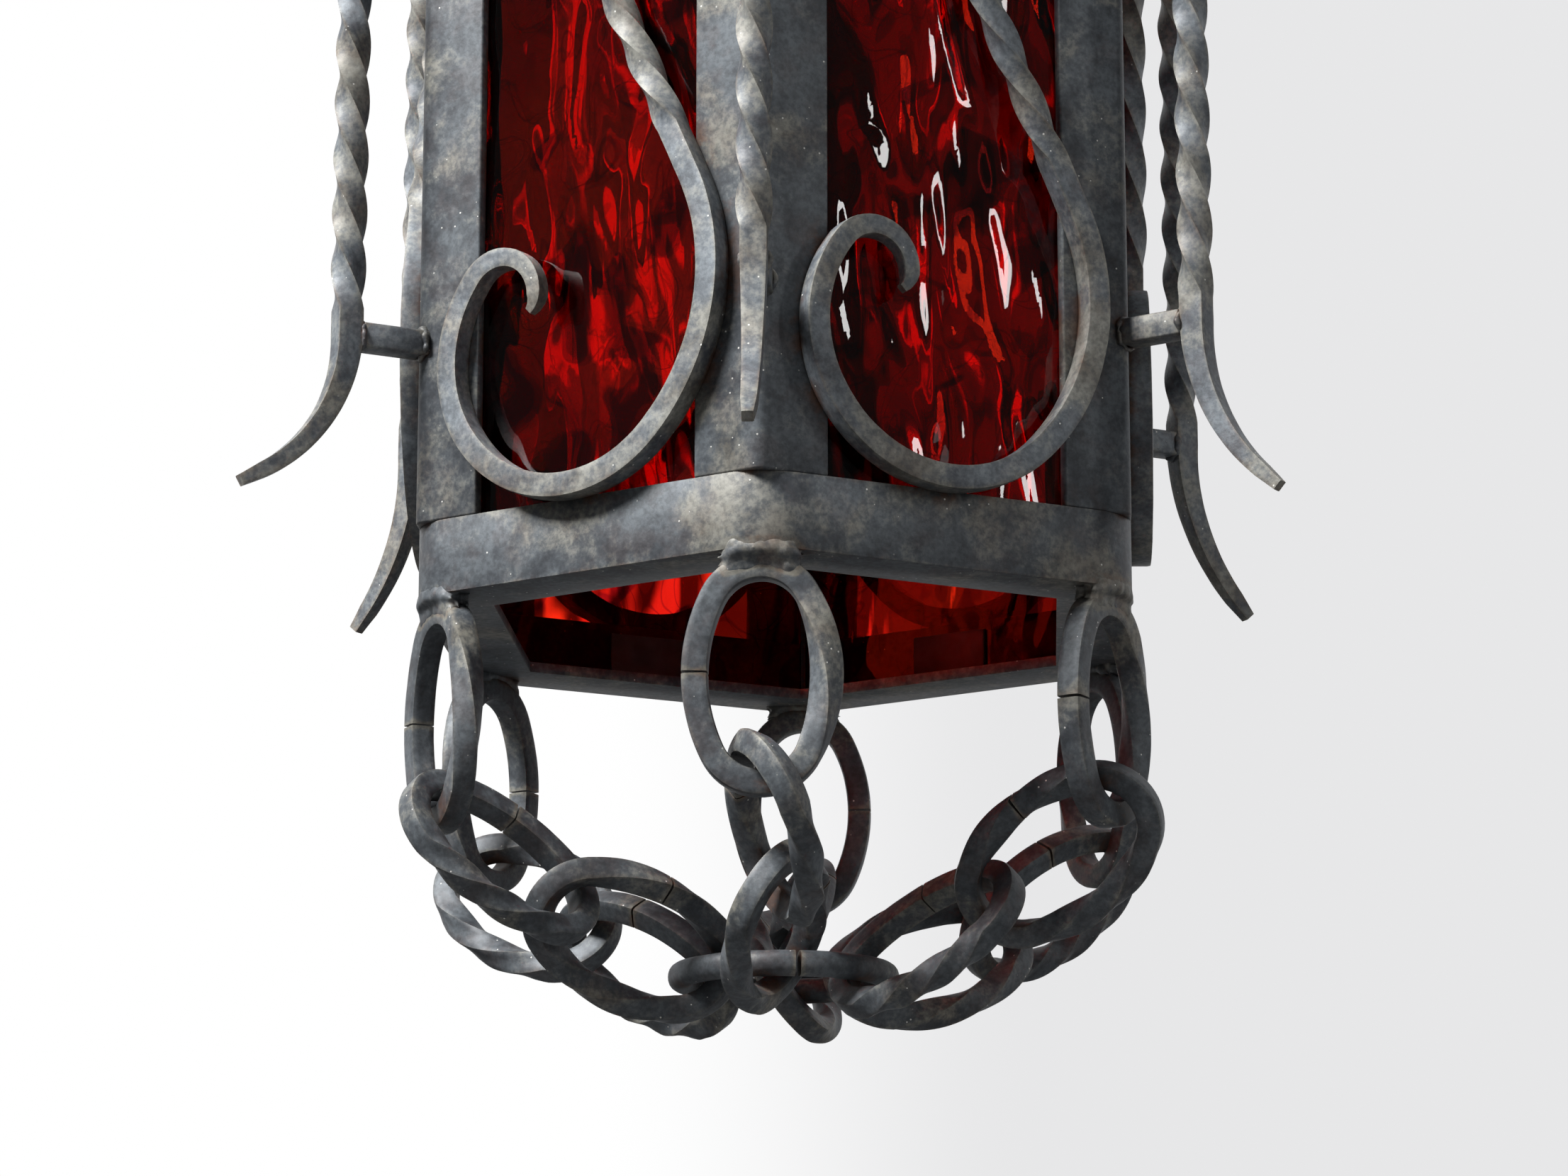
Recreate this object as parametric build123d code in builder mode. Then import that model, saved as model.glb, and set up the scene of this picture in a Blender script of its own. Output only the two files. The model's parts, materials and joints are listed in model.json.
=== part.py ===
from build123d import *
from math import acos, asin, atan2, cos, degrees, hypot, pi, radians, sin, sqrt, tan
import os

os.makedirs("parts", exist_ok=True)

# Hanging sanctuary lamp: a six-sided glazed lantern in wrought iron.
# Lengths are in mm and +Z is up. The origin is where the ceiling hook bears inside the hanging ring.
# Corner 1 faces -Y. Corners run clockwise seen from above, and face n lies between corners n and n + 1.

# driving sizes
corner_r = 110.0  # lamp axis to the sharp corner of the hexagon
body_h = 356.0  # outer face of the bottom ring to outer face of the top ring
band = 20.0  # leg of the angle iron in the two rings
flange = 20.0  # width of each leg of a corner post
iron_t = 3.0  # thickness of ring and post iron
bend_r = 4.0  # outer bend of ring corners and posts
glass_t = 3.0
bar = 7.0  # square bar of rods, loops and links, and round bar of the rings
scroll_bar = 6.5  # square bar of the scrolls
link_w = 40.5  # outside width of a loop or link
loop_inset = 9.0  # sharp corner to the centre of a welded loop's bar
rod_offset = 20.5  # sharp corner to the centre of a corner rod
stub_rise = 49.5  # ring's inner edge to the centre of the stub that carries a rod
tail_len = 48.0  # bent part of a rod's tail
kicks = (46, 60, 40, 50, 42, 46)  # degrees that the tails of rods 1 to 6 bend outwards
ring_r = 0.69 * link_w  # centreline radius of the lifting ring
ring_seam = 2.0  # degrees between the lifting ring's butted ends
upper_dip = 29.9  # slope of a chain's first loose link, degrees below level
lower_dip = 21.9  # slope of its second loose link
upper_roll = 33.0  # how far the first link has rolled about its length
lower_roll = -36.0  # how far the second has rolled the other way
upper_shift = 2.5  # how far each has slid along the bar it hangs on
lower_shift = 0.5
loop_seat = 1.41 * bar  # between the centres of a lower loop's bar and the bar hooked over it
link_seat = 1.63 * bar  # between the centres of two crossed link bars
ring_seat = 1.3 * bar  # between the centres of the lifting ring's bar and the bar under it
loop_slack = 0.5  # between the flats of an upper loop and the link hooked under it, whose corners meet first
link_slack = 0.9  # the same between two taut links
plate_r = 43.0  # axis to a corner of the gathering plate
plate_t = 5.0
plate_edge = 5.0  # iron left between a chain hole and the plate's corner
shank_r = 5.0  # shank of the swivel eye
collar_r = 9.0  # collar over the plate
washer_w = 22.0  # square washer under it
nut_w = 17.0  # across the flats of the nut below
hang_r = 20.0  # centreline radius of the hanging ring
eye_r = 14.0  # centreline radius of the swivel eye
strap_w = 22.0
strap_t = 3.0
bolt_r = 5.0  # axis to a corner of a strap bolt's head
bolt_h = 3.5
tube_r = 5.0  # outside of the lampholder's threaded tube
socket_r = 19.0  # outside of the lampholder
socket_bore = 13.3  # inside its threaded shell
socket_h = 46.0

half = bar / 2
loop_rho = corner_r - loop_inset  # lamp axis to the centre of a welded loop's bar
rod_rho = corner_r + rod_offset  # lamp axis to the centre of a corner rod
apothem = corner_r * cos(radians(30))
inner_apothem = apothem - iron_t
first_seats = loop_seat + link_seat / 2  # what a chain's first loose link loses of its length to hooking
second_seats = link_seat / 2 + ring_seat
across_first, across_second = cos(radians(upper_dip)), cos(radians(lower_dip))
chain_reach = loop_rho - ring_r + first_seats * across_first + second_seats * across_second
pitch = chain_reach / (across_first + across_second)  # between the centres of a link's end bars
link_len = pitch + bar  # outside length of a loop or link
bulge = (link_w - bar) / 2  # a link's middle line to the centre of its side bar
end_r = 0.8 * bulge  # centreline radius of a link's ends
turns = [-90 - 60 * k for k in range(6)]  # directions of the corners about +Z
up = Vector(0, 0, 1)


def aim(angle):
    return Vector(cos(radians(angle)), sin(radians(angle)), 0)


# Steps of a bar's centreline. Twists are in degrees and thin is the bar's share of full size at the end.
def straight(length, count=1, twist=0.0, thin=None):
    return (length, None, count, twist, thin)


def curve(radius, sweep, count, twist=0.0, thin=None):
    return (radius, sweep, count, twist, thin)


# Vertices (x, y, twist, size) of the polygon that touches the centreline from outside.
def walk(start, heading, steps, size=1.0):
    x, y = start
    turned = 0.0
    rows = [(x, y, turned, size)]
    for amount, sweep, count, twist, thin in steps:
        target = size if thin is None else thin
        change = (target - size) / count
        for _ in range(count):
            reach = amount / count if sweep is None else amount * tan(radians(abs(sweep) / count / 2))
            x += reach * cos(radians(heading))
            y += reach * sin(radians(heading))
            turned += twist / count
            size += change
            rows.append((x, y, turned, size))
            if sweep is not None:
                heading += sweep / count
                x += reach * cos(radians(heading))
                y += reach * sin(radians(heading))
    if steps[-1][1] is not None:
        rows.append((x, y, turned, size))
    return rows


def square(width):
    reach = width / 2
    return [(-reach, -reach), (reach, -reach), (reach, reach), (-reach, reach)]


def eight_sided():
    reach = half / cos(pi / 8)
    return [(reach * cos(pi * (2 * i + 1) / 8), reach * sin(pi * (2 * i + 1) / 8)) for i in range(8)]


# A bar of the given profile along flat vertices, as one flat-sided solid in the plane's own frame.
def forge(rows, profile, closed=False):
    points = [Vector(x, y, 0) for x, y, _, _ in rows]
    count = len(points)
    sections = []
    for i, (point, (_, _, twist, size)) in enumerate(zip(points, rows)):
        ahead = points[(i + 1) % count] - point if closed or i < count - 1 else None
        behind = point - points[i - 1] if closed or i > 0 else None
        ahead, behind = (ahead or behind).normalized(), (behind or ahead).normalized()
        along = (ahead + behind).normalized()
        widen = 1 / along.dot(ahead)
        across = up.cross(along)
        c, s = cos(radians(twist)) * size, sin(radians(twist)) * size
        across *= widen
        sections.append([point + across * (a * c - b * s) + up * (a * s + b * c) for a, b in profile])
    pairs = list(zip(sections, sections[1:]))
    if closed:
        pairs.append((sections[-1], sections[0]))
    sides = [] if closed else [sections[0], sections[-1][::-1]]
    for near, far in pairs:
        for i in range(len(near)):
            a, b = near[i - 1], near[i]
            c, d = far[i], far[i - 1]
            if abs((b - a).cross(d - a).dot(c - a)) < 1e-4:
                sides.append([a, d, c, b])
            else:
                sides.extend([[a, d, c], [a, c, b]])
    skin = Shell([Face(Wire.make_polygon(side, close=True)) for side in sides])
    return Solid(skin)


# Oval link in its own plane: X from the near end bar to the far one, Y across it. Its sides bow outwards.
# The bar's ends butt half way along one side, and the other side is twisted a quarter turn.
def oval(end_count, side_count):
    seam = 0.3
    reach = pitch / 2 - end_r
    side_r = (reach**2 + bulge**2 - end_r**2) / (2 * (bulge - end_r))
    lean = degrees(atan2(reach, side_r - bulge))
    half_side = curve(side_r, lean, 1)
    end_bend = curve(end_r, 180 - 2 * lean, end_count)
    twisted_side = curve(side_r, 2 * lean, side_count, twist=-90)
    rows = walk((pitch / 2 + seam / 2, -bulge), 0, [half_side, end_bend, twisted_side, end_bend, half_side])
    return rows[:-1] + [(pitch / 2 - seam / 2, -bulge, -90, 1.0)]


# Vertices of a closed ring about its own centre.
def hoop(radius, count):
    corners = [pi * (2 * i + 1) / count for i in range(count)]
    reach = radius / cos(pi / count)
    return [(reach * cos(corner), reach * sin(corner), 0, 1.0) for corner in corners]


# Levels, from the hook down to the lantern.
hang_z = half - hang_r  # centre of the hanging ring
knuckle_z = hang_z - hang_r  # centre of its lowest bar, on which the eye swings
eye_z = knuckle_z + 2 * half / cos(pi / 8) + 0.1 - eye_r  # centre of the eye
collar_t = 4.0
plate_top_z = eye_z - eye_r - half - 4 - collar_t
plate_z = plate_top_z - plate_t / 2

# Three taut links per corner climb at one angle from a loop on the top ring to the gathering plate.
grip_rho = plate_r - plate_edge / 2
climb = 60.0
for _ in range(40):
    c, s = cos(radians(climb)), sin(radians(climb))
    bearing = plate_edge / 2 * c + plate_t / 2 * s
    span = 3 * pitch - half * (c + s) - 2 * (bar + link_slack) - bar - loop_slack - bearing
    climb = degrees(acos((loop_rho - grip_rho) / span))
loop_top_z = plate_z - span * s  # centre of an upper loop's highest bar
top_z = loop_top_z + half - link_len  # upper face of the top ring
base_z = top_z - body_h  # lower face of the bottom ring
mid_z = base_z + body_h / 2
drop = end_r - half - bearing
hole_rho = grip_rho + drop * c - sqrt(end_r**2 - (drop * s) ** 2)
hole_r = grip_rho - plate_edge / 2 - hole_rho

# Two loose links per corner sag from the lower loops to the lifting ring.
loop_low_z = base_z + half - link_len
first_reach = pitch - first_seats
second_reach = pitch - second_seats
ring_z = loop_low_z - first_reach * sin(radians(upper_dip)) - second_reach * sin(radians(lower_dip))


def save(part, name):
    part.label = name
    export_step(part, f"parts/{name}.step")


def hexagon(across_flats, round_r=0.0):
    RegularPolygon(across_flats / 2 / cos(radians(30)), 6, rotation=30)
    if round_r:
        fillet(vertices(), round_r)


# A frame of angle iron bent to a hexagon, with one leg upright and the other turned in at the outer face.
def angle_ring(outer_z, inward):
    with BuildPart() as ring:
        with BuildSketch(Plane.XY.offset(outer_z)):
            hexagon(2 * apothem, bend_r)
        extrude(amount=band * inward)
        with BuildSketch(Plane.XY.offset(outer_z + iron_t * inward)):
            hexagon(2 * inner_apothem)
        extrude(amount=band * inward, mode=Mode.SUBTRACT)
        with BuildSketch(Plane.XY.offset(outer_z)):
            hexagon(2 * (apothem - band))
        extrude(amount=iron_t * inward, mode=Mode.SUBTRACT)
    return ring.part


save(angle_ring(base_z, 1), "bottom_ring")
save(angle_ring(top_z, -1), "top_ring")

# Corner posts stand on the upright legs of the bottom ring and carry those of the top ring.
for k, turn in enumerate(turns):
    with BuildPart() as post:
        with BuildSketch(Plane(origin=(0, 0, base_z + band), x_dir=aim(turn), z_dir=(0, 0, 1))):
            with BuildLine():
                leg = Vector(-0.5, cos(radians(30)), 0)
                tip = Vector(corner_r, 0, 0) + leg * flange
                back = tip - Vector(cos(radians(30)), 0.5, 0) * iron_t
                Polyline(
                    (corner_r, 0),
                    (tip.X, tip.Y),
                    (back.X, back.Y),
                    (inner_apothem / cos(radians(30)), 0),
                    (back.X, -back.Y),
                    (tip.X, -tip.Y),
                    close=True,
                )
            make_face()
            fillet(vertices().sort_by(Axis.X)[-1], bend_r)
        extrude(amount=body_h - 2 * band)
    save(post.part, f"corner_post_{k + 1}")

# Glass rests on the bottom ring's turned-in leg, against the inside of the posts.
glass_w = 2 * (inner_apothem - glass_t) * tan(radians(30)) - 1.5
for k, turn in enumerate(turns):
    facing = turn - 30
    with BuildPart() as pane:
        with BuildSketch(Plane(origin=(0, 0, base_z + iron_t), x_dir=aim(facing), z_dir=(0, 0, 1))):
            with Locations((inner_apothem - glass_t / 2, 0)):
                Rectangle(glass_t, glass_w)
        extrude(amount=body_h - 2 * iron_t - 1.5)
    save(pane.part, f"glass_pane_{k + 1}")

# Spring clips stand on both rings and hold each pane from inside.
clip_w, clip_t, clip_h, clip_foot = 24.0, 1.2, 14.0, 9.0
clip_back = inner_apothem - glass_t
with BuildPart() as clips:
    for turn in turns:
        for level, rise in ((base_z + iron_t, 1), (top_z - iron_t, -1)):
            foot_place = aim(turn - 30) * clip_back + up * level
            with BuildSketch(Plane(origin=foot_place, x_dir=aim(turn - 30), z_dir=aim(turn + 60))):
                with BuildLine():
                    lift = -rise
                    Polyline(
                        (0, 0),
                        (-clip_foot, 0),
                        (-clip_foot, clip_t * lift),
                        (-clip_t, clip_t * lift),
                        (-clip_t, clip_h * lift),
                        (0, clip_h * lift),
                        close=True,
                    )
                make_face()
            extrude(amount=clip_w / 2, both=True)
save(clips.part, "glass_clips")

# S-scrolls lie on the posts, one to a face. Each half runs from the middle of the S, tangent to its belly,
# then round the belly, the heel that stands on the ring, the toe and the curl, to a thin hooked beak.
belly_r, heel_r, toe_r, curl_r, beak_r = [share * corner_r for share in (0.525, 0.355, 0.334, 0.1, 0.05)]
belly_out = 0.388 * corner_r  # centre of the panel to the belly's outermost point
belly_end = -136.0  # heading where the belly turns into the heel
foot = body_h / 2 - band - scroll_bar / 2 + 0.8
belly_x = belly_out - belly_r
belly_y = heel_r - foot - (belly_r - heel_r) * cos(radians(belly_end))
to_belly = hypot(belly_x, belly_y)
heading = degrees(atan2(belly_y, belly_x) + asin(belly_r / to_belly))
spine_len = sqrt(to_belly**2 - belly_r**2)
clear_of_post = corner_r / 2 - flange - scroll_bar / sqrt(2)
twisted = clear_of_post / cos(radians(heading))
lower_half = walk(
    (0, 0),
    heading,
    [
        straight(twisted, 8, twist=-360),
        straight(spine_len - twisted),
        curve(belly_r, belly_end - heading, 4),
        curve(heel_r, -100, 6),
        curve(toe_r, -73, 4, thin=0.9),
        curve(curl_r, -145, 4, thin=0.65),
        curve(beak_r, -50, 2, thin=0.35),
    ],
)
upper_half = [(-x, -y, -twist, size) for x, y, twist, size in lower_half]
scroll = forge(upper_half[:0:-1] + lower_half, square(scroll_bar))
for k, turn in enumerate(turns):
    facing = turn - 30
    front = Plane(
        origin=aim(facing) * (apothem + scroll_bar / 2) + up * mid_z,
        x_dir=aim(facing + 90),
        z_dir=aim(facing),
    )
    with BuildPart() as piece:
        add(scroll.moved(front.location))
    save(piece.part, f"scroll_{k + 1}")

# Corner rods: twisted square bar whose plain ends run past the stubs and kick outwards.
stub_z = (base_z + band + stub_rise, top_z - band - stub_rise)
plain = half + 3.5  # untwisted length beside each stub
stub_root = 6  # depth of a stub's notch
rod_len = stub_z[1] - stub_z[0] - 2 * plain
rod_twist = -13 * 90
for k, (turn, kick) in enumerate(zip(turns, kicks)):
    bent = curve(tail_len / radians(kick), kick, 4, thin=0.7)
    tail = walk((0, -rod_len / 2), -90, [straight(plain), bent, straight(bar, thin=0.45)])
    rod_rows = (
        [(x, -y, 0, size) for x, y, _, size in tail[:0:-1]]
        + walk((0, rod_len / 2), -90, [straight(rod_len, 26, rod_twist)])
        + [(x, y, rod_twist, size) for x, y, _, size in tail[1:]]
    )
    upright = Plane(origin=aim(turn) * rod_rho + up * mid_z, x_dir=aim(turn), z_dir=aim(turn - 90))
    with BuildPart() as piece:
        add(forge(rod_rows, square(bar)).moved(upright.location))
    save(piece.part, f"corner_rod_{k + 1}")

# Square stubs notched over the posts' corners, two to a rod.
with BuildPart() as stubs:
    for turn in turns:
        for level in stub_z:
            with Locations(Location(aim(turn) * (rod_rho - half) + up * level, (0, 0, turn))):
                Box(
                    rod_rho - half - corner_r + stub_root,
                    bar,
                    bar,
                    align=(Align.MAX, Align.CENTER, Align.CENTER),
                )
    with BuildSketch(Plane.XY.offset(base_z)):
        hexagon(2 * apothem)
    extrude(amount=body_h, mode=Mode.SUBTRACT)
save(stubs.part, "rod_stubs")


def link_plane(start, along, sideways):
    return Plane(origin=start, x_dir=along, z_dir=along.cross(sideways))


# Loops are welded upright under and over the ring corners, square to the radius.
link, crown_link = forge(oval(6, 3), square(bar)), forge(oval(4, 2), square(bar))
for name, shape, start, along in (
    ("lower_loops", link, base_z - half, Vector(0, 0, -1)),
    ("upper_loops", crown_link, top_z + half, up),
):
    with BuildPart() as loops:
        for turn in turns:
            place = link_plane(aim(turn) * loop_rho + up * start, along, aim(turn + 90))
            add(shape.moved(place.location))
    save(loops.part, name)

# Taut chains: alternate links upright in the radial plane and turned across it.
for k, turn in enumerate(turns):
    out, side = aim(turn), aim(turn + 90)
    along = out * -cos(radians(climb)) + up * sin(radians(climb))
    edge = along.cross(side)
    first = out * loop_rho + up * loop_top_z
    first -= along * (half * (cos(radians(climb)) + sin(radians(climb))) + half + loop_slack)
    with BuildPart() as chain:
        for i, across in enumerate((edge, side, edge)):
            place = link_plane(first + along * (i * (pitch - bar - link_slack)), along, across)
            add(crown_link.moved(place.location))
    save(chain.part, f"top_chain_{k + 1}")

# Loose links: the first hangs from its lower loop, the second carries the lifting ring.
for k, turn in enumerate(turns):
    out, side = aim(turn), aim(turn + 90)
    start = out * loop_rho + up * loop_low_z
    for name, dip, roll, shift, back, reach in (
        ("upper", upper_dip, upper_roll, upper_shift, loop_seat, first_reach),
        ("lower", lower_dip, lower_roll, lower_shift, link_seat / 2, second_reach),
    ):
        along = out * -cos(radians(dip)) - up * sin(radians(dip))
        edge = along.cross(side) * cos(radians(roll)) + side * sin(radians(roll))
        near = start - along * back + side * shift
        with BuildPart() as piece:
            add(link.moved(link_plane(near, along, edge).location))
        save(piece.part, f"{name}_link_{k + 1}")
        start += along * reach

# Lifting ring: round bar with its ends butted near corner 1.
with BuildPart() as lifting_ring:
    ring_rows = walk((ring_r, 0), 90, [curve(ring_r, 360 - ring_seam, 24)])
    ring_place = Location((0, 0, ring_z), (0, 0, turns[0] + 12))
    add(forge(ring_rows, eight_sided()).moved(ring_place))
save(lifting_ring.part, "lifting_ring")

# Gathering plate with a hole for each chain and one for the eye's shank.
with BuildPart() as plate:
    with BuildSketch(Plane.XY.offset(plate_top_z - plate_t)):
        hexagon(2 * plate_r)
        chamfer(vertices(), 2 * (plate_r / cos(radians(30)) - plate_r))
        with PolarLocations(hole_rho, 6, start_angle=30):
            RegularPolygon(hole_r, 6, major_radius=False, rotation=30, mode=Mode.SUBTRACT)
        Circle(shank_r + 0.2, mode=Mode.SUBTRACT)
    extrude(amount=plate_t)
save(plate.part, "gathering_plate")

# Swivel eye: forged loop, collar, and a shank through the plate to a washer and nut.
washer_t, nut_t, thread_end = 1.6, 8.0, 3.0
collar_gap = 0.1
shank_end = plate_top_z - plate_t - washer_t - nut_t - thread_end
eye_place = Plane(origin=(0, 0, eye_z), x_dir=(0, 1, 0), z_dir=(1, 0, 0))
with BuildPart() as eye:
    add(forge(hoop(eye_r, 16), eight_sided(), closed=True).moved(eye_place.location))
    with BuildSketch(Plane.XY.offset(shank_end)):
        RegularPolygon(shank_r, 16)
    extrude(amount=eye_z - eye_r - shank_end)
    with BuildSketch(Plane.XY.offset(plate_top_z + collar_gap)):
        RegularPolygon(collar_r, 8)
    extrude(amount=collar_t)
save(eye.part, "swivel_eye")

with BuildPart() as washer:
    with BuildSketch(Plane.XY.offset(plate_top_z - plate_t - washer_t)):
        Rectangle(washer_w, washer_w)
        RegularPolygon(shank_r, 16, mode=Mode.SUBTRACT)
    extrude(amount=washer_t)
save(washer.part, "swivel_washer")

with BuildPart() as nut:
    with BuildSketch(Plane.XY.offset(plate_top_z - plate_t - washer_t - nut_t)):
        RegularPolygon(nut_w / 2, 6, major_radius=False, rotation=30)
        RegularPolygon(shank_r, 16, mode=Mode.SUBTRACT)
    extrude(amount=nut_t)
save(nut.part, "swivel_nut")

# Hanging ring, in the XZ plane.
hang_place = Plane(origin=(0, 0, hang_z), x_dir=(1, 0, 0), z_dir=(0, -1, 0))
with BuildPart() as hanging_ring:
    add(forge(hoop(hang_r, 20), eight_sided(), closed=True).moved(hang_place.location))
save(hanging_ring.part, "hanging_ring")

# Strap across the top ring, its threaded tube with two nuts, and the lampholder under it.
tube_len, tube_wall, tube_drop = 22.0, 1.5, 8.0
tube_nut_r, tube_nut_t = 8.0, 3.0
with BuildPart() as strap:
    with BuildSketch(Plane.XY.offset(top_z)):
        Rectangle(2 * inner_apothem, strap_w)
        RegularPolygon(tube_r, 16, mode=Mode.SUBTRACT)
    extrude(amount=strap_t)
save(strap.part, "lampholder_strap")

with BuildPart() as bolts:
    for side in (-1, 1):
        with BuildSketch(Plane.XY.offset(top_z + strap_t)):
            with Locations((side * (apothem - band / 2), 0)):
                RegularPolygon(bolt_r, 6)
        extrude(amount=bolt_h)
save(bolts.part, "strap_bolts")

with BuildPart() as tube:
    with BuildSketch(Plane.XY.offset(top_z - tube_drop)):
        RegularPolygon(tube_r, 16)
        RegularPolygon(tube_r - tube_wall, 16, mode=Mode.SUBTRACT)
    extrude(amount=tube_len)
save(tube.part, "threaded_tube")

with BuildPart() as tube_nut:
    with BuildSketch(Plane.XY.offset(top_z + strap_t)):
        RegularPolygon(tube_nut_r, 6)
        RegularPolygon(tube_r, 16, mode=Mode.SUBTRACT)
    extrude(amount=tube_nut_t)
save(tube_nut.part, "tube_nut")

# Lampholder: porcelain cup, open below, with a threaded metal shell.
cup_head, shell_t, rim = 12.0, 0.8, 6.0
cup_floor = top_z - cup_head
with BuildPart() as cup:
    with BuildSketch(Plane.XY.offset(top_z)):
        Circle(socket_r)
        RegularPolygon(tube_r, 16, mode=Mode.SUBTRACT)
    extrude(amount=-cup_head)
    with BuildSketch(Plane.XY.offset(cup_floor)):
        Circle(socket_r)
        Circle(socket_bore + shell_t, mode=Mode.SUBTRACT)
    extrude(amount=cup_head - socket_h)
save(cup.part, "lampholder_cup")

with BuildPart() as shell:
    with BuildSketch(Plane.XY.offset(cup_floor)):
        Circle(socket_bore + shell_t)
        Circle(socket_bore, mode=Mode.SUBTRACT)
    extrude(amount=cup_head + rim - socket_h)
save(shell.part, "lampholder_shell")
print("climb", round(climb, 2), "link", round(link_len, 2), "base", round(base_z, 2), "ring", round(ring_z, 2))
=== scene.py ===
import json
import math
import random

import bmesh
import bpy
from mathutils import Matrix, Vector


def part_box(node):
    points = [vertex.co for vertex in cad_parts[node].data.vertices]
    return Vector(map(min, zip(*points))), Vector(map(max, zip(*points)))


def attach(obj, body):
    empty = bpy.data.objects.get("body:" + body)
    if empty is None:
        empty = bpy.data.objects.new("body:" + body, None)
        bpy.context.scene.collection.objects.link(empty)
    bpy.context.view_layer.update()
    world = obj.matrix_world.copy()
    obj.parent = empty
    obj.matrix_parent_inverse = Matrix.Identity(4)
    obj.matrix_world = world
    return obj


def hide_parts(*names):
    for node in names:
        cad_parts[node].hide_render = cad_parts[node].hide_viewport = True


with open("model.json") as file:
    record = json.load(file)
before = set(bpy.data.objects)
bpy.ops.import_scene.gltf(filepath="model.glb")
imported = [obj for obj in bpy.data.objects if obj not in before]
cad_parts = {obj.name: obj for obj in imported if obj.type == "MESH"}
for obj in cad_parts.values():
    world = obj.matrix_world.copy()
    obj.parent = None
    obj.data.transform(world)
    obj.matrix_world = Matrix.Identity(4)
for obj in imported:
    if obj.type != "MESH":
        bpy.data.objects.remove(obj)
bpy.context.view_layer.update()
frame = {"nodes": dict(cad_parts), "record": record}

# Sizes in metres, shared by every piece.
lamp = {
    "cornerRadius": 0.110,
    "band": 0.020,
    "ironThickness": 0.003,
    "glassThickness": 0.003,
    "glassPlay": 0.0015,
    "barSize": 0.007,
    "scrollBar": 0.0065,
    "linkWidth": 0.0405,
    "loopInset": 0.009,
    "rodOffset": 0.0205,
    "stubRise": 0.0495,
}
half = lamp["barSize"] / 2
loopRadius = lamp["cornerRadius"] - lamp["loopInset"]
rodRadius = lamp["cornerRadius"] + lamp["rodOffset"]
apothem = lamp["cornerRadius"] * math.cos(math.radians(30))
innerApothem = apothem - lamp["ironThickness"]
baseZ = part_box("bottom_ring")[0][2]
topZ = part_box("top_ring")[1][2]
midZ = (baseZ + topZ) / 2
turns = [-90 - 60 * k for k in range(6)]  # corners, clockwise from the front
up = Vector((0, 0, 1))


def aim(angle):
    return Vector((math.cos(math.radians(angle)), math.sin(math.radians(angle)), 0))


def placeOn(origin, xDirection, yDirection):
    x, y = xDirection.normalized(), yDirection.normalized()
    z = x.cross(y)
    return Matrix((
        (x.x, y.x, z.x, origin.x),
        (x.y, y.y, z.y, origin.y),
        (x.z, y.z, z.z, origin.z),
        (0, 0, 0, 1),
    ))


# Node makers, for materials and geometry alike


def addNode(tree, kind, **settings):
    node = tree.nodes.new(kind)
    for key, value in settings.items():
        if key in node.inputs:
            node.inputs[key].default_value = value
        else:
            setattr(node, key, value)
    return node


# A socket takes another node's output or a plain value.
def feed(tree, socket, value):
    if isinstance(value, bpy.types.NodeSocket):
        tree.links.new(value, socket)
    else:
        socket.default_value = value


def mathNode(tree, operation, *values, clamp=False):
    node = addNode(tree, "ShaderNodeMath", operation=operation, use_clamp=clamp)
    for socket, value in zip(node.inputs, values):
        feed(tree, socket, value)
    return node.outputs["Value"]


def times(tree, first, second):
    return mathNode(tree, "MULTIPLY", first, second)


# A start value plus shares of others.
def blendSum(tree, start, *parts):
    for value, share in parts:
        start = mathNode(tree, "MULTIPLY_ADD", value, share, start)
    return start


def vectorMath(tree, operation, *values, scale=None):
    node = addNode(tree, "ShaderNodeVectorMath", operation=operation)
    for socket, value in zip(node.inputs, values):
        feed(tree, socket, value)
    if scale is not None:
        feed(tree, node.inputs["Scale"], scale)
    return node.outputs["Vector"]


def splitVector(tree, vector):
    node = tree.nodes.new("ShaderNodeSeparateXYZ")
    tree.links.new(vector, node.inputs[0])
    return node.outputs


def joinVector(tree, *values):
    node = tree.nodes.new("ShaderNodeCombineXYZ")
    for socket, value in zip(node.inputs, values):
        feed(tree, socket, value)
    return node.outputs[0]


def noiseNode(tree, source, scale, detail=4.0, roughness=0.55, distortion=0.0):
    node = addNode(tree, "ShaderNodeTexNoise", Detail=detail, Roughness=roughness, Distortion=distortion)
    feed(tree, node.inputs["Scale"], scale)
    tree.links.new(source, node.inputs["Vector"])
    return node.outputs["Fac"]


def rampNode(tree, source, low, high):
    node = addNode(tree, "ShaderNodeMapRange", interpolation_type="SMOOTHSTEP")
    node.inputs["From Min"].default_value = low
    node.inputs["From Max"].default_value = high
    tree.links.new(source, node.inputs["Value"])
    return node.outputs["Result"]


def mixColors(tree, factor, first, second):
    node = addNode(tree, "ShaderNodeMix", data_type="RGBA")
    for index, value in ((0, factor), (6, first), (7, second)):
        feed(tree, node.inputs[index], (*value, 1.0) if isinstance(value, tuple) else value)
    return node.outputs[2]


# Materials


def newMaterial(name):
    material = bpy.data.materials.new(name)
    material.use_nodes = True
    tree = material.node_tree
    shader = tree.nodes["Principled BSDF"]
    coords = tree.nodes.new("ShaderNodeTexCoord").outputs["Object"]
    return material, tree, shader, coords


def addBump(tree, shader, height, strength, distance):
    bump = addNode(tree, "ShaderNodeBump", Strength=strength, Distance=distance)
    tree.links.new(height, bump.inputs["Height"])
    tree.links.new(bump.outputs["Normal"], shader.inputs["Normal"])


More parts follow.
